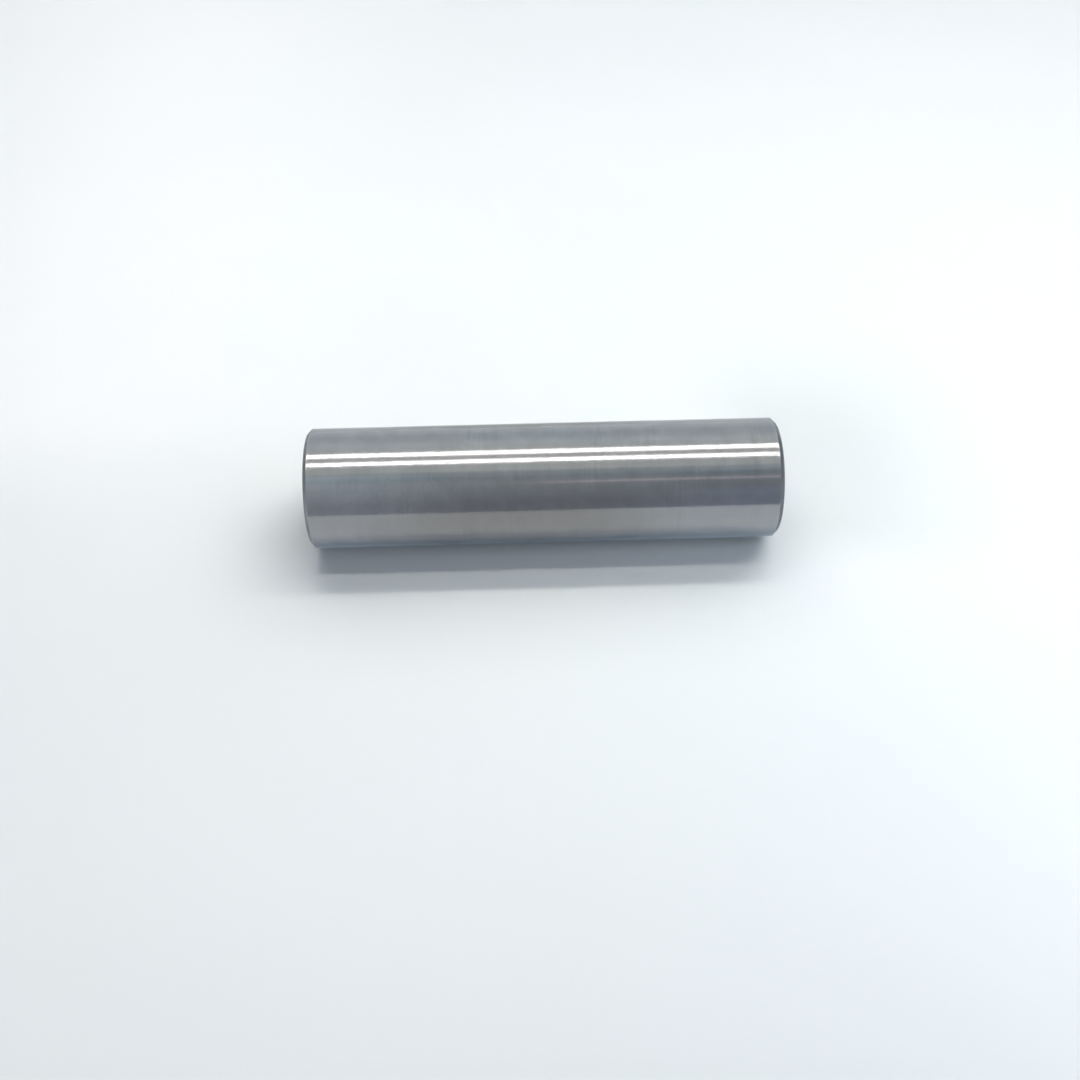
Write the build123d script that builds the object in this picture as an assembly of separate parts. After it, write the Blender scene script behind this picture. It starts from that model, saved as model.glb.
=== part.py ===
from build123d import *
import math
import os

# Rocker arm shaft: one solid steel pin. A rocker's bush turns on its ground journal, and a
# chamfer at each end leads it into the bores that hold it.
# It stands on its foot face. The axis is Z, and the origin is the centre of the foot face.
# Lengths are in millimetres and angles in degrees.

JOURNAL_DIAMETER = 18.0
SHAFT_LENGTH = 70.0  # foot face to head face
FOOT_CHAMFER = 0.65  # along the axis
HEAD_CHAMFER = 0.55
CHAMFER_ANGLE = 45.0  # from the axis
SHOULDER_RADIUS = 0.1  # blend between a chamfer and the journal
FACE_EDGE_RADIUS = 0.06  # blend between a chamfer and an end face

JOURNAL_RADIUS = JOURNAL_DIAMETER / 2
CHAMFER_SLOPE = math.tan(math.radians(CHAMFER_ANGLE))
FOOT_FACE_RADIUS = JOURNAL_RADIUS - FOOT_CHAMFER * CHAMFER_SLOPE
HEAD_FACE_RADIUS = JOURNAL_RADIUS - HEAD_CHAMFER * CHAMFER_SLOPE


def half_section():
    """One side of the section through the axis, with its corners blended."""
    with BuildSketch(Plane.XZ) as section:
        with BuildLine():
            Polyline(
                (0, 0),
                (FOOT_FACE_RADIUS, 0),
                (JOURNAL_RADIUS, FOOT_CHAMFER),
                (JOURNAL_RADIUS, SHAFT_LENGTH - HEAD_CHAMFER),
                (HEAD_FACE_RADIUS, SHAFT_LENGTH),
                (0, SHAFT_LENGTH),
                close=True,
            )
        make_face()
        # The shoulders are the corners furthest from the axis. A face edge is the outer
        # corner of an end face, and the sketch's Y is the height.
        shoulders = section.vertices().group_by(Axis.X)[-1]
        fillet(shoulders, SHOULDER_RADIUS)
        levels = section.vertices().group_by(Axis.Y)
        face_edges = [face.sort_by(Axis.X)[-1] for face in (levels[0], levels[-1])]
        fillet(face_edges, FACE_EDGE_RADIUS)
    return section.sketch


def rocker_arm_shaft():
    """The half section turned once about the axis."""
    with BuildPart() as shaft:
        add(half_section())
        revolve(axis=Axis.Z)
    return shaft.part


os.makedirs("parts", exist_ok=True)
export_step(rocker_arm_shaft(), "parts/rocker_arm_shaft.step")
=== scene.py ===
"""Rocker arm shaft: one ground steel pin with a chamfer at each end.

The shaft stands on its foot, and Z is its axis. The sheet that it touches stands beside it, and the
camera lies on its side, so that it sees the shaft lying on the sheet with its foot at the right.
Directions round the axis are angles: 0 points from the shaft to the camera (-Y), and 90 points the
way that the camera sees as up (+X). Lengths are in metres.
"""

import math

import bpy
from mathutils import Matrix, Vector


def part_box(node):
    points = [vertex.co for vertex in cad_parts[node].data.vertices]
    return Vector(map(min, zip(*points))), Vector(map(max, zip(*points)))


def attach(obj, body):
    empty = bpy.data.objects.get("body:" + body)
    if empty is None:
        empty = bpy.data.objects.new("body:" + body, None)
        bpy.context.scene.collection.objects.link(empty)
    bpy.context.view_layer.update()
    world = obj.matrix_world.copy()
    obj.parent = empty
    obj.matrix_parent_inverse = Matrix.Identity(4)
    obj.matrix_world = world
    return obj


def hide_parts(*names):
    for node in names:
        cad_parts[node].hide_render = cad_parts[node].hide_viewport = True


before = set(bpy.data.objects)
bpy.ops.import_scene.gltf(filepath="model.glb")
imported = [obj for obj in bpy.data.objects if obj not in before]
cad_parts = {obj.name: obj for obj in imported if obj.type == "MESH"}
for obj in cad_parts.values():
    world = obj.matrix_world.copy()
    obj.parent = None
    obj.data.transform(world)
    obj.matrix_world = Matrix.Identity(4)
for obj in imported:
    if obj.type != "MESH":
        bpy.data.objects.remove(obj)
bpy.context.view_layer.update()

# The shaft, from the CAD node and in the CAD's own sizes
SHAFT = "rocker_arm_shaft"
LOW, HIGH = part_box(SHAFT)
RADIUS = HIGH.x
LENGTH = HIGH.z - LOW.z
MIDDLE = Vector((0, 0, LENGTH / 2))
FOOT_CHAMFER = 0.00065
HEAD_CHAMFER = 0.00055
SHOULDER_BLEND = 0.0001
FACE_EDGE_BLEND = 0.00006
JOURNAL_TILT = 0.35  # the most that a normal of the journal leans along the axis

# Its steel: two tones, dark and bright, and the colour in its pits
GROUND_TONES = ((0.243, 0.240, 0.239), (0.307, 0.304, 0.299))
GROUND_PITS = (0.10, 0.095, 0.09)
TURNED_TONES = ((0.17, 0.17, 0.172), (0.33, 0.328, 0.322))
TURNED_PITS = (0.08, 0.075, 0.07)
FOOT_END_TINT = (0.74, 0.77, 0.80)
METAL_EDGE_TINT = (0.8, 0.8, 0.8)
OIL_ROUGHNESS = 0.45
RINGS_OUTWARDS = 1.62  # how much closer rings lie across an end than along the journal
# The size of the patches that break up the painted shoulder highlight's edge
SHOULDER_HIGHLIGHT_PATCH = 0.0007

# The sheet that the shaft touches
SHEET_FACES = 42.0  # the way that the sheet's front faces, in degrees round the axis
SHEET_TO_VIEWER = 0.12  # how far it reaches from the shaft, to the viewer and the other way
SHEET_AWAY = 0.9
SHEET_HALF_WIDTH = 0.9
# The sheet's colour runs from a painted shade to a painted light.
SHEET_PAINTED_SHADE = (0.58, 0.617, 0.621)
SHEET_PAINTED_LIGHT = (0.93, 0.92, 0.90)
# The tint of the painted shade beside the shaft's foot
SHEET_PAINTED_SHADE_BY_FOOT_TINT = (1.0, 0.988, 0.965)
# What polished metal sees of the sheet is a painted reflection: a glow with painted shade under the
# shaft.
PAINTED_REFLECTION_REACH = 8.0  # radii
SHEET_PAINTED_REFLECTION = [  # distance from the shaft towards the viewer, in radii, and the glow there
    (0.0, (0.50, 0.52, 0.54)),
    (0.6, (0.26, 0.37, 0.50)),
    (0.8, (0.36, 0.47, 0.60)),
    (0.95, (0.50, 0.61, 0.73)),
    (1.13, (0.72, 0.80, 0.94)),
    (1.35, (0.78, 0.86, 0.95)),
    (1.8, (0.83, 0.865, 0.88)),
    (3.0, (0.62, 0.64, 0.64)),
    (8.0, (0.60, 0.61, 0.62)),
]
END_PAINTED_REFLECTIONS = [  # the heights at which a glow by an end starts and is full, and its colour
    (0.031, 0.006, (0.39, 0.53, 0.66)),
    (0.048, 0.070, (0.38, 0.45, 0.56)),
]
CLEAR_OF_SHAFT = (1.0, 1.35)  # radii between which the glows by the ends get their full strength
HORIZON_PAINTED_REFLECTION = (1.22, 1.31, 1.38)

# The strip lamps. A strip is a wide bright cover with a narrow row of bulbs behind it. Polished metal
# shows the cover, and shadows come from the bulbs.
STRIP_DISTANCE = 0.20
BULBS_ENDS = (-0.22, 0.068)  # heights, from the shaft's middle
COVER_ENDS = (-0.22, 0.22)
STRIPS = {  # name: (its bulbs' degrees round the axis and brightness, its cover's degrees and width)
    "near_strip": (43.2, 10.3, 43.9, 6.7),
    "far_strip": (61.2, 19.9, 61.2, 8.0),
}
BULBS_WIDTH = 4.0  # widths are the degrees that they fill, seen from the shaft
BULBS_COLOUR = (1.0, 0.98, 0.95)
COVER_BRIGHTNESS = 4.7
# Soft panels, which polished metal doesn't show
PANELS = {  # name: (degrees round the axis, width, brightness, distance, heights of its ends, colour)
    "back_panel": (82.0, 30.0, 2.5, 0.5, (-0.6, 0.3), (1.0, 1.0, 1.0)),
    "head_panel": (-5.0, 30.0, 0.9, 0.35, (0.12, 0.37), (1.0, 1.0, 1.0)),
    "foot_panel": (8.0, 30.0, 3.0, 0.13, (-0.17, -0.07), (0.93, 0.98, 1.14)),
}

# The light of the room round it
ROOM_LIGHT = [  # degrees round the axis, and the light from there
    (-180, (0.80, 0.82, 0.84)),
    (-152, (0.95, 0.97, 0.98)),
    (-146, (1.60, 1.60, 1.58)),
    (-128, (1.45, 1.45, 1.43)),
    (-122, (0.62, 0.64, 0.68)),
    (-62, (0.40, 0.42, 0.48)),
    (-48, (0.37, 0.385, 0.455)),
    (-35, (0.365, 0.385, 0.45)),
    (-23, (0.42, 0.45, 0.52)),
    (-11, (0.455, 0.51, 0.57)),
    (-2, (0.52, 0.57, 0.63)),
    (3, (0.56, 0.60, 0.66)),
    (11, (0.47, 0.56, 0.63)),
    (18, (0.57, 0.67, 0.74)),
    (23, (0.63, 0.71, 0.77)),
    (26, (0.95, 1.02, 1.05)),
    (36, (0.95, 1.01, 1.02)),
    (55, (1.00, 1.00, 1.00)),
    (74, (1.02, 1.10, 1.13)),
    (82, (1.04, 1.16, 1.22)),
    (90, (1.00, 1.12, 1.19)),
    (99, (0.89, 1.01, 1.10)),
    (110, (0.86, 0.98, 1.09)),
    (121, (0.98, 1.09, 1.18)),
    (133, (1.02, 1.12, 1.20)),
    (180, (0.80, 0.82, 0.84)),
]
FOOTWARDS_TINT = (0.86, 0.90, 0.92)
HEADWARDS_LIFT = (0.23, 0.28, 0.34)
FOOTWARDS_LIFT = (0.10, 0.14, 0.21)
LIGHT_LINE = (0.38, 0.31, 0.33)
LIGHT_LINE_DEGREES = 0.8
BEYOND_ENDS = (0.34, 0.36, 0.40)
ON_MATT_TINT = (0.87, 0.97, 1.08)  # what the room's light is multiplied by on matt surfaces
BACKDROP = (0.90, 0.93, 0.95)  # what the camera sees past the sheet

# The camera
LENS_MM = 41.6
SENSOR_MM = 36.0
NEAREST, FARTHEST = 0.01, 10.0
SHAFT_IN_VIEW = Vector((0.0005, 0.0087, -0.1893))  # the shaft's middle: right, up, back
SHAFT_ROLL = 1.51  # degrees that the camera sees the foot higher than the head
SHAFT_YAW = 0.94  # degrees that the foot is turned away from the camera


def round_axis(degrees):
    """The direction at that angle round the shaft's axis."""
    angle = math.radians(degrees)
    return Vector((math.sin(angle), -math.cos(angle), 0))


def add_object(name, data):
    made = bpy.data.objects.new(name, data)
    bpy.context.scene.collection.objects.link(made)
    return made


# ---------------------------------------------------------------- node trees


def set_input(tree, socket, value):
    if isinstance(value, bpy.types.NodeSocket):
        tree.links.new(value, socket)
    else:
        socket.default_value = value


def set_inputs(tree, node, **inputs):
    """Links or sets a node's inputs by name, with _ for a space."""
    for name, value in inputs.items():
        set_input(tree, node.inputs[name.replace("_", " ")], value)


def add_node(tree, kind, settings=None, **inputs):
    """Adds a node. Settings are its own values, and an input is a socket to link or a value."""
    node = tree.nodes.new(kind)
    for name, value in (settings or {}).items():
        setattr(node, name, value)
    set_inputs(tree, node, **inputs)
    return node


def add_sockets(tree, inputs, outputs):
    """Gives a group these sockets, each a name and a kind. Returns what its inputs give."""
    for way, sockets in (("INPUT", inputs), ("OUTPUT", outputs)):
        for name, kind in sockets.items():
            tree.interface.new_socket(name, in_out=way, socket_type="NodeSocket" + kind)
    return tree.nodes.new("NodeGroupInput").outputs


def vector_of(tree, x=0.0, y=0.0, z=0.0):
    return add_node(tree, "ShaderNodeCombineXYZ", X=x, Y=y, Z=z).outputs[0]


def parts_of(tree, vector):
    """The X, Y and Z of a vector."""
    return add_node(tree, "ShaderNodeSeparateXYZ", Vector=vector).outputs


def maths(tree, operation, *values):
    node = add_node(tree, "ShaderNodeMath", {"operation": operation})
    for socket, value in zip(node.inputs, values):
        set_input(tree, socket, value)
    return node.outputs[0]


def times(tree, first, *others):
    """The product of these values."""
    product = first
    for value in others:
        product = maths(tree, "MULTIPLY", product, value)
    return product


def add_up(tree, start, *parts):
    """The start with each part added, a part being a value and how much of it to add."""
    total = start
    for value, amount in parts:
        total = maths(tree, "MULTIPLY_ADD", value, amount, total)
    return total


def smooth_step(tree, value, start, end):
    """0 up to the start, 1 from the end on, and a soft rise between them."""
    return add_node(
        tree,
        "ShaderNodeMapRange",
        {"interpolation_type": "SMOOTHSTEP"},
        Value=value,
        From_Min=start,
        From_Max=end,
    ).outputs[0]


def mix_colour(tree, factor, first, second, blend="MIX"):
    """Mixes two colours, each a socket or three numbers. The factor is held between 0 and 1."""
    node = add_node(tree, "ShaderNodeMix", {"data_type": "RGBA", "blend_type": blend})
    set_input(tree, node.inputs[0], factor)
    for socket, colour in ((node.inputs[6], first), (node.inputs[7], second)):
        set_input(tree, socket, (*colour, 1.0) if isinstance(colour, tuple) else colour)
    return node.outputs[2]


def mix_shader(tree, factor, first, second):
    node = add_node(tree, "ShaderNodeMixShader")
    for socket, value in zip(node.inputs, (factor, first, second)):
        set_input(tree, socket, value)
    return node.outputs[0]


def colour_ramp(tree, position, stops):
    """Blends between stops, each a position from 0 to 1 and a colour."""
    node = add_node(tree, "ShaderNodeValToRGB", Fac=position)
    elements = node.color_ramp.elements
    while len(elements) < len(stops):
        elements.new(0.5)
    for element, (place, _) in zip(elements, stops):
        element.position = place
    for element, (_, colour) in zip(elements, stops):
        element.color = (*colour, 1.0)
    return node.outputs[0]


def switch_by_index(tree, kind, values):
    """A value for each point of a curve or line, by the point's number."""
    node = add_node(tree, "GeometryNodeIndexSwitch", {"data_type": kind})
    while len(node.index_switch_items) < len(values):
        node.index_switch_items.new()
    number_of_point = add_node(tree, "GeometryNodeInputIndex").outputs[0]
    set_inputs(tree, node, Index=number_of_point)
    for number, value in enumerate(values):
        set_input(tree, node.inputs[number + 1], value)
    return node.outputs[0]


# ---------------------------------------------------------------- the shaft


def end_section(tree, given, chamfer):
    """An end from the axis out: (distance from the axis, distance from its face, blend)."""
    journal, margin = given["Journal Radius"], given["Flat Margin"]
    face = maths(tree, "SUBTRACT", journal, chamfer)
    return [
        (0.0, 0.0, 0.0),
        (maths(tree, "SUBTRACT", face, margin), 0.0, 0.0),
        (face, 0.0, given["Face Edge Blend"]),
        (journal, chamfer, given["Shoulder Blend"]),
        (journal, maths(tree, "ADD", chamfer, margin), 0.0),
    ]


def half_section(tree, given):
    """A curve from the middle of the foot face, out and up the journal, to that of the head face."""
    foot = end_section(tree, given, given["Foot Chamfer"])
    head = [
        (reach, maths(tree, "SUBTRACT", given["Length"], rise), blend)
        for reach, rise, blend in reversed(end_section(tree, given, given["Head Chamfer"]))
    ]
    corners = foot + head
    rings = [0] * len(corners)
    rings[0] = rings[-2] = given["Rings On Face"]
    rings[len(foot) - 1] = given["Rings Along"]
    # The lathe turns a section's Y down, so heights are negative here.
    places = [vector_of(tree, x=reach, y=times(tree, height, -1.0)) for reach, height, _ in corners]
    blends = [blend for _, _, blend in corners]

    line = add_node(tree, "GeometryNodeMeshLine", Count=len(corners))
    placed = add_node(
        tree,
        "GeometryNodeSetPosition",
        Geometry=line.outputs[0],
        Position=switch_by_index(tree, "VECTOR", places),
    )
    outline = add_node(tree, "GeometryNodeMeshToCurve", Mesh=placed.outputs[0])
    marked = add_node(
        tree,
        "GeometryNodeStoreNamedAttribute",
        {"data_type": "FLOAT", "domain": "POINT"},
        Geometry=outline.outputs[0],
        Name="blend",
        Value=switch_by_index(tree, "FLOAT", blends),
    )
    cut = add_node(
        tree,
        "GeometryNodeSubdivideCurve",
        Curve=marked.outputs[0],
        Cuts=switch_by_index(tree, "INT", rings),
    )
    blend = add_node(tree, "GeometryNodeInputNamedAttribute", {"data_type": "FLOAT"}, Name="blend")
    return add_node(
        tree,
        "GeometryNodeFilletCurve",
        {"mode": "POLY"},
        Curve=cut.outputs[0],
        Count=given["Facets In Blend"],
        Radius=blend.outputs["Attribute"],
    ).outputs[0]


def lathe(tree, given, section):
    """Carries the section round a ring, from which it reaches back to the axis."""
    ring_radius = times(tree, given["Journal Radius"], 2.0)
    ring = add_node(
        tree,
        "GeometryNodeCurvePrimitiveCircle",
        {"mode": "RADIUS"},
        Resolution=given["Facets Round"],
        Radius=ring_radius,
    )
    carried = add_node(
        tree,
        "GeometryNodeTransform",
        Geometry=section,
        Translation=vector_of(tree, x=times(tree, ring_radius, -1.0)),
    )
    turned = add_node(
        tree,
        "GeometryNodeCurveToMesh",
        Curve=ring.outputs[0],
        Profile_Curve=carried.outputs[0],
    )
    closed = add_node(
        tree,
        "GeometryNodeMergeByDistance",
        Geometry=turned.outputs[0],
        Distance=given["Merge Distance"],
    )
    outwards = add_node(tree, "GeometryNodeFlipFaces", Mesh=closed.outputs[0])
    return add_node(tree, "GeometryNodeSetShadeSmooth", Geometry=outwards.outputs[0]).outputs[0]


def turned_shaft_tree():
    """The shaft as a half section turned about Z: both end faces, chamfers, blends and the journal."""
    tree = bpy.data.node_groups.new("turned_shaft", "GeometryNodeTree")
    sockets = {
        "Journal Radius": "Float",
        "Length": "Float",
        "Foot Chamfer": "Float",
        "Head Chamfer": "Float",
        "Shoulder Blend": "Float",
        "Face Edge Blend": "Float",
        "Flat Margin": "Float",
        "Merge Distance": "Float",
        "Journal Tilt": "Float",
        "Facets Round": "Int",
        "Facets In Blend": "Int",
        "Rings Along": "Int",
        "Rings On Face": "Int",
        "Journal Finish": "Material",
        "End Finish": "Material",
    }
    given = add_sockets(tree, sockets, {"Geometry": "Geometry"})
    turned = lathe(tree, given, half_section(tree, given))

    # The journal's normals lie flat, and those of the chamfers and faces don't.
    normal = parts_of(tree, add_node(tree, "GeometryNodeInputNormal").outputs[0])
    tilt = maths(tree, "ABSOLUTE", normal["Z"])
    solid = add_node(tree, "GeometryNodeRealizeInstances", Geometry=turned)
    ends = add_node(
        tree,
        "GeometryNodeSetMaterial",
        Geometry=solid.outputs[0],
        Material=given["End Finish"],
    )
    both = add_node(
        tree,
        "GeometryNodeSetMaterial",
        Geometry=ends.outputs[0],
        Selection=maths(tree, "LESS_THAN", tilt, given["Journal Tilt"]),
        Material=given["Journal Finish"],
    )
    add_node(tree, "NodeGroupOutput", Geometry=both.outputs[0])
    return tree


def mesh_from_tree(name, tree, values):
    """Runs a geometry tree with these inputs and returns its result as a plain mesh object."""
    source = add_object(name + "_source", bpy.data.meshes.new(name + "_source"))
    modifier = source.modifiers.new(name, "NODES")
    modifier.node_group = tree
    for socket in tree.interface.items_tree:
        if socket.in_out == "INPUT" and socket.name in values:
            modifier[socket.identifier] = values[socket.name]
    source.update_tag()
    depsgraph = bpy.context.evaluated_depsgraph_get()
    made = bpy.data.meshes.new_from_object(source.evaluated_get(depsgraph))
    made.name = name
    bpy.data.objects.remove(source)
    return add_object(name, made)


def make_shaft(journal_finish, end_finish):
    shaft = mesh_from_tree(
        "ground_shaft",
        turned_shaft_tree(),
        {
            "Journal Radius": RADIUS,
            "Length": LENGTH,
            "Foot Chamfer": FOOT_CHAMFER,
            "Head Chamfer": HEAD_CHAMFER,
            "Shoulder Blend": SHOULDER_BLEND,
            "Face Edge Blend": FACE_EDGE_BLEND,
            "Flat Margin": 0.0002,
            "Merge Distance": 1e-6,
            "Journal Tilt": JOURNAL_TILT,
            "Facets Round": 256,
            "Facets In Blend": 6,
            "Rings Along": 69,
            "Rings On Face": 12,
            "Journal Finish": journal_finish,
            "End Finish": end_finish,
        },
    )
    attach(shaft, "root")
    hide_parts(SHAFT)


# ---------------------------------------------------------------- shader groups


def shader_group(name, inputs, outputs):
    """A new shader group with these sockets. Returns its tree and what its inputs give."""
    tree = bpy.data.node_groups.new(name, "ShaderNodeTree")
    return tree, add_sockets(tree, inputs, outputs)


def use_group(tree, group, **inputs):
    return add_node(tree, "ShaderNodeGroup", {"node_tree": group}, **inputs).outputs[0]


def vector_over(tree, vector, size):
    """The vector divided by a length, so that one unit of the result is that long."""
    scaled = add_node(tree, "ShaderNodeVectorMath", {"operation": "SCALE"})
    set_input(tree, scaled.inputs[0], vector)
    set_inputs(tree, scaled, Scale=maths(tree, "DIVIDE", 1.0, size))
    return scaled.outputs[0]


def noise(tree, vector, detail, roughness, distortion=0.0):
    return add_node(
        tree,
        "ShaderNodeTexNoise",
        Vector=vector,
        Scale=1.0,
        Detail=detail,
        Roughness=roughness,
        Distortion=distortion,
    ).outputs[0]


def ring_marks_group():
    """Fine lines round the axis, as a grinding wheel or a turning tool leaves them."""
    tree, given = shader_group(
        "ring_marks",
        {"Place": "Vector", "Pitch": "Float", "Length Round": "Float"},
        {"Lines": "Float"},
    )
    place = parts_of(tree, given["Place"])
    sideways = vector_of(tree, x=place["X"], y=place["Y"])
    reach = add_node(tree, "ShaderNodeVectorMath", {"operation": "LENGTH"}, Vector=sideways)
    # Lines are rings on the end faces and chamfers as well as on the journal.
    profile = add_up(tree, place["Z"], (reach.outputs["Value"], RINGS_OUTWARDS))
    rings = vector_of(
        tree,
        x=maths(tree, "DIVIDE", place["X"], given["Length Round"]),
        y=maths(tree, "DIVIDE", place["Y"], given["Length Round"]),
        z=maths(tree, "DIVIDE", profile, given["Pitch"]),
    )
    lines = noise(tree, rings, detail=3.0, roughness=0.65)
    add_node(tree, "NodeGroupOutput", Lines=lines)
    return tree


def soft_patches_group():
    """Soft uneven patches, such as a film of oil, a handled surface or slow waves."""
    tree, given = shader_group(
        "soft_patches",
        {"Place": "Vector", "Size": "Float", "Detail": "Float"},
        {"Patches": "Float"},
    )
    scaled = vector_over(tree, given["Place"], given["Size"])
    patches = noise(tree, scaled, given["Detail"], roughness=0.55, distortion=0.4)
    add_node(tree, "NodeGroupOutput", Patches=patches)
    return tree


def pits_group():
    """Sparse tiny pits: 1 inside a pit and 0 elsewhere."""
    tree, given = shader_group(
        "pits",
        {"Place": "Vector", "Spacing": "Float", "Size": "Float", "Share": "Float"},
        {"Pits": "Float"},
    )
    scaled = vector_over(tree, given["Place"], given["Spacing"])
    cells = add_node(tree, "ShaderNodeTexVoronoi", Vector=scaled, Scale=1.0).outputs
    size = maths(tree, "DIVIDE", given["Size"], given["Spacing"])
    pit = smooth_step(tree, cells["Distance"], size, times(tree, size, 0.5))
    chance = add_node(tree, "ShaderNodeSeparateColor", Color=cells["Color"]).outputs[0]
    chosen = maths(tree, "LESS_THAN", chance, given["Share"])
    add_node(tree, "NodeGroupOutput", Pits=times(tree, pit, chosen))
    return tree


def shoulder_highlight_group():
    """Painted highlight beside the two shoulders: 1 at a shoulder and 0 beyond its reach."""
    tree, given = shader_group(
        "shoulder_highlight",
        {
            "Place": "Vector",
            "Foot Shoulder": "Float",
            "Head Shoulder": "Float",
            "Reach": "Float",
            "Patch Size": "Float",
        },
        {"Wear": "Float"},
    )
    height = parts_of(tree, given["Place"])["Z"]
    off_foot, off_head = (
        maths(tree, "ABSOLUTE", maths(tree, "SUBTRACT", height, given[shoulder]))
        for shoulder in ("Foot Shoulder", "Head Shoulder")
    )
    off = maths(tree, "MINIMUM", off_foot, off_head)
    scaled = vector_over(tree, given["Place"], given["Patch Size"])
    uneven = noise(tree, scaled, detail=2.0, roughness=0.6)
    reach = times(tree, uneven, 2.0, given["Reach"])
    add_node(tree, "NodeGroupOutput", Wear=smooth_step(tree, off, reach, 0.0))
    return tree


# ---------------------------------------------------------------- finishes


def principled(material):
    return next(n for n in material.node_tree.nodes if n.type == "BSDF_PRINCIPLED")


def metal(name):
    """A new oiled metal. Returns the material, its tree, its shader and a place on the surface."""
    material = bpy.data.materials.new(name)
    material.use_nodes = True
    tree = material.node_tree
    shader = principled(material)
    shader.inputs["Metallic"].default_value = 1.0
    shader.inputs["Specular Tint"].default_value = (*METAL_EDGE_TINT, 1.0)
    shader.inputs["Coat Roughness"].default_value = OIL_ROUGHNESS
    place = add_node(tree, "ShaderNodeTexCoord").outputs["Object"]
    return material, tree, shader, place


def shoulder_highlight(tree, place, reach):
    return use_group(
        tree,
        SHOULDER_HIGHLIGHT,
        Place=place,
        Foot_Shoulder=FOOT_CHAMFER,
        Head_Shoulder=LENGTH - HEAD_CHAMFER,
        Reach=reach,
        Patch_Size=SHOULDER_HIGHLIGHT_PATCH,
    )


def oil_film(tree, handled, most):
    """Oil lies where the surface was handled."""
    return times(tree, smooth_step(tree, handled, 0.3, 0.7), most)


def bumps(tree, *parts):
    """The normals of bumps, given as parts: a pattern and its height in metres."""
    height = add_up(tree, 0.0, *parts)
    return add_node(tree, "ShaderNodeBump", Height=height, Distance=1.0, Strength=1.0).outputs[0]


def ground_journal():
    """Steel from a grinding wheel: near a mirror, with faint lines round it and slow waves."""
    material, tree, shader, place = metal("ground_journal")
    fine = use_group(tree, RING_MARKS, Place=place, Pitch=0.00022, Length_Round=0.012)
    broad = use_group(tree, RING_MARKS, Place=place, Pitch=0.0011, Length_Round=0.02)
    dressed = use_group(tree, SOFT_PATCHES, Place=place, Size=0.008, Detail=1.0)
    handled = use_group(tree, SOFT_PATCHES, Place=place, Size=0.0024, Detail=3.0)
    waves = use_group(tree, SOFT_PATCHES, Place=place, Size=0.0011, Detail=3.0)
    ripples = use_group(tree, SOFT_PATCHES, Place=place, Size=0.00042, Detail=2.0)
    pits = use_group(tree, PITS, Place=place, Spacing=0.0045, Size=0.00022, Share=0.3)
    painted_shoulder_highlight = shoulder_highlight(tree, place, 0.0004)
    lines = add_up(tree, 0.0, (fine, 0.5), (broad, 0.5))
    # Lines show where the wheel left them, and fade elsewhere.
    shown = add_up(tree, 0.2, (smooth_step(tree, dressed, 0.48, 0.66), 0.8))
    line_tone = times(tree, maths(tree, "SUBTRACT", lines, 0.5), shown)
    # The tone is painted brighter beside the shoulders, as a painted highlight, and the roughness
    # changes there.
    tone = add_up(tree, 0.2, (line_tone, 1.8), (handled, 0.6), (painted_shoulder_highlight, 0.35))
    steel = mix_colour(tree, tone, *GROUND_TONES)
    set_inputs(
        tree,
        shader,
        Base_Color=mix_colour(tree, pits, steel, GROUND_PITS),
        Roughness=add_up(tree, 0.093, (lines, 0.03), (painted_shoulder_highlight, 0.05), (pits, 0.3)),
        Coat_Weight=oil_film(tree, handled, 0.5),
        Normal=bumps(tree, (waves, 6e-6), (ripples, 6e-6), (lines, 6e-7), (pits, -1e-5)),
    )
    return material


def turned_end():
    """Steel from a turning tool: duller and darker, with rings round the axis."""
    material, tree, shader, place = metal("turned_end")
    rings = use_group(tree, RING_MARKS, Place=place, Pitch=0.00016, Length_Round=0.03)
    handled = use_group(tree, SOFT_PATCHES, Place=place, Size=0.0016, Detail=3.0)
    pits = use_group(tree, PITS, Place=place, Spacing=0.0025, Size=0.00018, Share=0.3)
    painted_shoulder_highlight = shoulder_highlight(tree, place, 0.0001)
    # The tone is painted brighter beside the shoulders, as a painted highlight, and the roughness
    # changes there.
    tone = add_up(tree, -0.85, (rings, 1.4), (handled, 1.0), (painted_shoulder_highlight, 0.6))
    steel = mix_colour(tree, tone, *TURNED_TONES)
    # The foot end is darker and bluer.
    at_foot = smooth_step(tree, parts_of(tree, place)["Z"], 0.002, 0.001)
    steel = mix_colour(tree, at_foot, steel, FOOT_END_TINT, "MULTIPLY")
    set_inputs(
        tree,
        shader,
        Base_Color=mix_colour(tree, pits, steel, TURNED_PITS),
        Roughness=add_up(tree, 0.30, (rings, 0.12), (painted_shoulder_highlight, -0.1)),
        Coat_Weight=oil_film(tree, handled, 0.2),
        Normal=bumps(tree, (rings, 6e-6), (pits, -1e-5)),
    )
    return material


# ---------------------------------------------------------------- the sheet


def sheet_mesh(normal, to_viewer):
    """The sheet, tangent to the shaft, with its front facing the way of the normal."""
    touched = MIDDLE - normal * RADIUS
    near = touched + to_viewer * SHEET_TO_VIEWER
    far = touched - to_viewer * SHEET_AWAY
    across = Vector((0, 0, SHEET_HALF_WIDTH))
    mesh = bpy.data.meshes.new("sheet")
    mesh.from_pydata([near - across, near + across, far + across, far - across], [], [(0, 1, 2, 3)])
    mesh.update()
    if mesh.polygons[0].normal.dot(normal) < 0:
        mesh.flip_normals()
    return mesh


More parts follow.
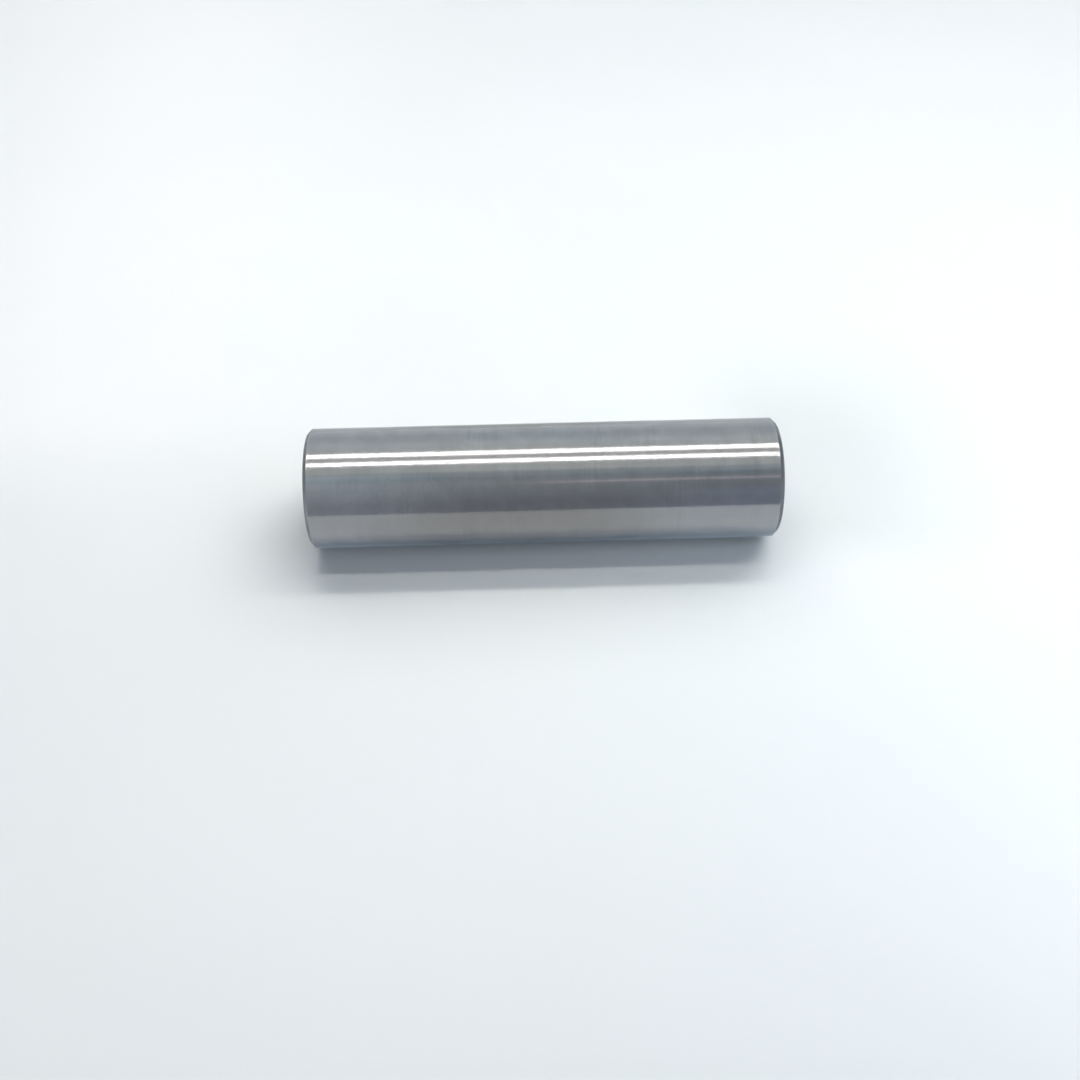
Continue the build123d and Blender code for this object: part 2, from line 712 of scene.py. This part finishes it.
def sheet_colour_with_painted_light(tree, away, height):
    """Painted light and shade: paler beyond the shaft, towards the head and in front, greyer by the
    foot.
    """
    # Painted light: the sheet is painted paler beyond the shaft, towards the head and in front.
    painted_light_beyond = smooth_step(tree, away, 0.02, 0.2)
    headwards = smooth_step(tree, height, -0.02, 0.14)
    painted_light_by_head = smooth_step(tree, height, 0.045, 0.13)
    painted_light_by_head = times(tree, painted_light_by_head, smooth_step(tree, away, 0.0, 0.03))
    painted_light_in_front = add_up(tree, 0.04, (smooth_step(tree, height, -0.01, 0.09), 0.11))
    painted_light_in_front = times(tree, painted_light_in_front, smooth_step(tree, away, -0.01, -0.07))
    # Painted shade beside the foot: greyer, and a little bluer by its tint.
    painted_shade_by_foot = times(
        tree,
        smooth_step(tree, height, -0.045, -0.010),
        smooth_step(tree, height, 0.014, -0.004),
        smooth_step(tree, away, -0.013, -0.001),
        smooth_step(tree, away, 0.046, 0.014),
    )
    painted_paleness = add_up(
        tree,
        0.267,
        (painted_light_beyond, 0.178),
        (headwards, 0.33),
        (painted_light_by_head, 0.242),
        (painted_light_in_front, 1.0),
        (painted_shade_by_foot, -0.25),
    )
    colour = mix_colour(tree, painted_paleness, SHEET_PAINTED_SHADE, SHEET_PAINTED_LIGHT)
    return mix_colour(tree, painted_shade_by_foot, colour, SHEET_PAINTED_SHADE_BY_FOOT_TINT, "MULTIPLY")


def sheet_painted_reflection(tree, away, height, horizon):
    """Painted reflection: a glow that polished metal sees on the sheet, in place of its light and
    shade.
    """
    toward = times(tree, away, -1.0 / (PAINTED_REFLECTION_REACH * RADIUS))
    painted_reflection = colour_ramp(tree, toward, [(radii / PAINTED_REFLECTION_REACH, light) for radii, light in SHEET_PAINTED_REFLECTION])
    # The painted reflection gets brighter towards both ends, and less so close under the shaft.
    start, full = CLEAR_OF_SHAFT
    clear = smooth_step(tree, toward, start / PAINTED_REFLECTION_REACH, full / PAINTED_REFLECTION_REACH)
    clear = add_up(tree, 0.68, (clear, 0.32))
    for first, last, added in END_PAINTED_REFLECTIONS:
        by_end = times(tree, clear, smooth_step(tree, height, first, last))
        painted_reflection = mix_colour(tree, by_end, painted_reflection, added, "ADD")
    return mix_colour(tree, horizon, painted_reflection, HORIZON_PAINTED_REFLECTION)


def sheet_material(to_viewer):
    """A pale matt sheet with painted light and shade, a painted glow in polished metal, and clear from
    behind.
    """
    material = bpy.data.materials.new("pale_sheet")
    material.use_nodes = True
    tree = material.node_tree
    shader = principled(material)
    shader.inputs["Roughness"].default_value = 0.8
    shader.inputs["Specular IOR Level"].default_value = 0.0
    place = add_node(tree, "ShaderNodeTexCoord").outputs["Object"]
    dot = add_node(tree, "ShaderNodeVectorMath", {"operation": "DOT_PRODUCT"})
    set_input(tree, dot.inputs[0], place)
    set_input(tree, dot.inputs[1], -to_viewer)
    away = dot.outputs["Value"]
    height = parts_of(tree, place)["Z"]
    set_inputs(tree, shader, Base_Color=sheet_colour_with_painted_light(tree, away, height))

    horizon = smooth_step(tree, away, 0.02, 0.16)
    light = sheet_painted_reflection(tree, away, height, horizon)
    painted_reflection = add_node(tree, "ShaderNodeEmission", Color=light).outputs[0]
    # Polished metal sees part of the sheet as the painted reflection glow instead of its shading.
    in_metal = add_node(tree, "ShaderNodeLightPath").outputs["Is Glossy Ray"]
    painted_reflection_share = times(tree, add_up(tree, 0.45, (horizon, 0.45)), in_metal)
    front = mix_shader(tree, painted_reflection_share, shader.outputs[0], painted_reflection)
    behind = add_node(tree, "ShaderNodeNewGeometry").outputs["Backfacing"]
    clear = add_node(tree, "ShaderNodeBsdfTransparent").outputs[0]
    output = next(n for n in tree.nodes if n.type == "OUTPUT_MATERIAL")
    set_inputs(tree, output, Surface=mix_shader(tree, behind, front, clear))
    return material


def make_sheet():
    """The pale sheet. It is clear from behind, so that the shaft's back shows too."""
    to_viewer = round_axis(SHEET_FACES - 90)
    mesh = sheet_mesh(round_axis(SHEET_FACES), to_viewer)
    mesh.materials.append(sheet_material(to_viewer))
    add_object("sheet", mesh)


# ---------------------------------------------------------------- lamps, room and camera


def long_lamp(name, degrees, width_degrees, brightness, distance, ends, colour=(1.0, 1.0, 1.0)):
    """A long lamp beside the shaft and parallel to it. Its brightness is what a mirror would show."""
    lamp = bpy.data.lights.new(name, "AREA")
    lamp.shape = "RECTANGLE"
    lamp.size = 2 * distance * math.tan(math.radians(width_degrees / 2))
    lamp.size_y = ends[1] - ends[0]
    lamp.energy = brightness * math.pi * lamp.size * lamp.size_y
    lamp.color = colour
    made = add_object(name, lamp)
    out = round_axis(degrees)
    along = Vector((0, 0, 1))
    turned = Matrix((along.cross(out), along, out)).transposed()
    place = MIDDLE + out * distance + along * (ends[0] + ends[1]) / 2
    made.matrix_world = Matrix.Translation(place) @ turned.to_4x4()
    return made


def hide_from_metal(lamp):
    """Polished metal doesn't show this lamp, but what is behind it."""
    lamp.visible_glossy = False
    # Otherwise the unseen lamp would still hold back a cover that it overlaps.
    lamp.data.cycles.use_multiple_importance_sampling = False


def make_lamps():
    """The strips, each a row of bulbs and a cover, and the soft panels."""
    for name, (degrees, brightness, cover_degrees, cover_width) in STRIPS.items():
        bulbs = long_lamp(
            name + "_bulbs",
            degrees,
            BULBS_WIDTH,
            brightness,
            STRIP_DISTANCE,
            BULBS_ENDS,
            BULBS_COLOUR,
        )
        hide_from_metal(bulbs)
        cover = long_lamp(
            name + "_cover",
            cover_degrees,
            cover_width,
            COVER_BRIGHTNESS,
            STRIP_DISTANCE,
            COVER_ENDS,
        )
        # Matt surfaces are lit by the strip's bulbs instead.
        cover.visible_diffuse = False
    for name, values in PANELS.items():
        hide_from_metal(long_lamp(name, *values))


def angle_step(tree, angle, start, end):
    """A smooth step between two angles in degrees."""
    return smooth_step(tree, angle, math.radians(start), math.radians(end))


def room_light(tree, angle, along, low):
    """The light from a direction: its angle round the axis, and how far it points along it."""
    stops = [((degrees + 180) / 360, light) for degrees, light in ROOM_LIGHT]
    light = colour_ramp(tree, add_up(tree, 0.5, (angle, 0.5 / math.pi)), stops)
    headwards = smooth_step(tree, along, 0.02, 0.16)
    footwards = smooth_step(tree, along, -0.07, -0.19)
    # Towards the foot it is dimmer, apart from what is above the shaft.
    dimmed = times(tree, footwards, angle_step(tree, angle, 15, 12))
    light = mix_colour(tree, dimmed, light, FOOTWARDS_TINT, "MULTIPLY")
    # Below the strips it gets brighter towards the head, and less so low down.
    below_strips = angle_step(tree, angle, 24, 22)
    above_low = angle_step(tree, angle, -35, -12)
    head_lift = times(tree, add_up(tree, 0.72, (above_low, 0.28)), below_strips, headwards)
    light = mix_colour(tree, head_lift, light, HEADWARDS_LIFT, "ADD")
    # Towards the foot it gets bluer low down, and less so just below the strips.
    raised = times(tree, angle_step(tree, angle, 13, 18), below_strips)
    foot_lift = times(tree, add_up(tree, low, (raised, 0.6)), footwards)
    light = mix_colour(tree, foot_lift, light, FOOTWARDS_LIFT, "ADD")
    # A thin warm line of light stands level with the shaft, towards its foot.
    from_line = maths(tree, "SUBTRACT", angle, math.radians(LIGHT_LINE_DEGREES))
    line = angle_step(tree, maths(tree, "ABSOLUTE", from_line), 2.5, 1.0)
    line = times(tree, line, smooth_step(tree, along, -0.015, -0.045))
    light = mix_colour(tree, line, light, LIGHT_LINE, "ADD")
    # Both ends are dim.
    endwards = smooth_step(tree, maths(tree, "ABSOLUTE", along), 0.35, 0.8)
    return mix_colour(tree, endwards, light, BEYOND_ENDS)


def shadow_fill(tree, along, low):
    """How much the room's light changes on matt surfaces, where it would fill the shadows.

    More comes from beyond the shaft's ends, most from beyond its foot, and less from low down.
    """
    from_foot = smooth_step(tree, along, -0.2, -0.6)
    from_head = smooth_step(tree, along, 0.2, 0.6)
    return add_up(tree, -0.84, (from_foot, 0.82), (from_head, 0.15), (low, -0.06))


def make_world():
    """Soft light all round: a bright ceiling, and a darker side where the viewer stands."""
    world = bpy.data.worlds.new("studio")
    world.use_nodes = True
    tree = world.node_tree
    direction = parts_of(tree, add_node(tree, "ShaderNodeTexCoord").outputs["Generated"])
    along = direction["Z"]
    angle = maths(tree, "ARCTAN2", direction["X"], times(tree, direction["Y"], -1.0))
    low = angle_step(tree, angle, -8, -30)
    ray = add_node(tree, "ShaderNodeLightPath").outputs
    on_matt = ray["Is Diffuse Ray"]
    light = room_light(tree, angle, along, low)
    light = mix_colour(tree, on_matt, light, ON_MATT_TINT, "MULTIPLY")
    set_inputs(
        tree,
        tree.nodes["Background"],
        Color=mix_colour(tree, ray["Is Camera Ray"], light, BACKDROP),
        Strength=add_up(tree, 1.0, (on_matt, shadow_fill(tree, along, low))),
    )
    bpy.context.scene.world = world


def make_camera():
    """The camera, which lies on its side so that it sees the shaft's foot at the right."""
    data = bpy.data.cameras.new("camera")
    data.lens, data.sensor_width = LENS_MM, SENSOR_MM
    data.clip_start, data.clip_end = NEAREST, FARTHEST
    camera = add_object("camera", data)
    roll, yaw = math.radians(SHAFT_ROLL), math.radians(SHAFT_YAW)
    # The shaft's frame as the camera sees it, with the camera's right, up and back as X, Y and Z
    to_foot = Vector(
        (math.cos(yaw) * math.cos(roll), math.cos(yaw) * math.sin(roll), -math.sin(yaw))
    )
    up_the_shaft = -to_foot
    to_camera = -SHAFT_IN_VIEW
    to_camera = (to_camera - up_the_shaft * to_camera.dot(up_the_shaft)).normalized()
    away = -to_camera
    seen = Matrix((away.cross(up_the_shaft), away, up_the_shaft))  # rows: X, Y and Z seen
    camera.matrix_world = Matrix.Translation(MIDDLE - seen @ SHAFT_IN_VIEW) @ seen.to_4x4()
    bpy.context.scene.camera = camera


RING_MARKS = ring_marks_group()
SOFT_PATCHES = soft_patches_group()
PITS = pits_group()
SHOULDER_HIGHLIGHT = shoulder_highlight_group()

make_shaft(ground_journal(), turned_end())
make_sheet()
make_lamps()
make_world()
make_camera()
bpy.context.scene.view_settings.view_transform = "Standard"
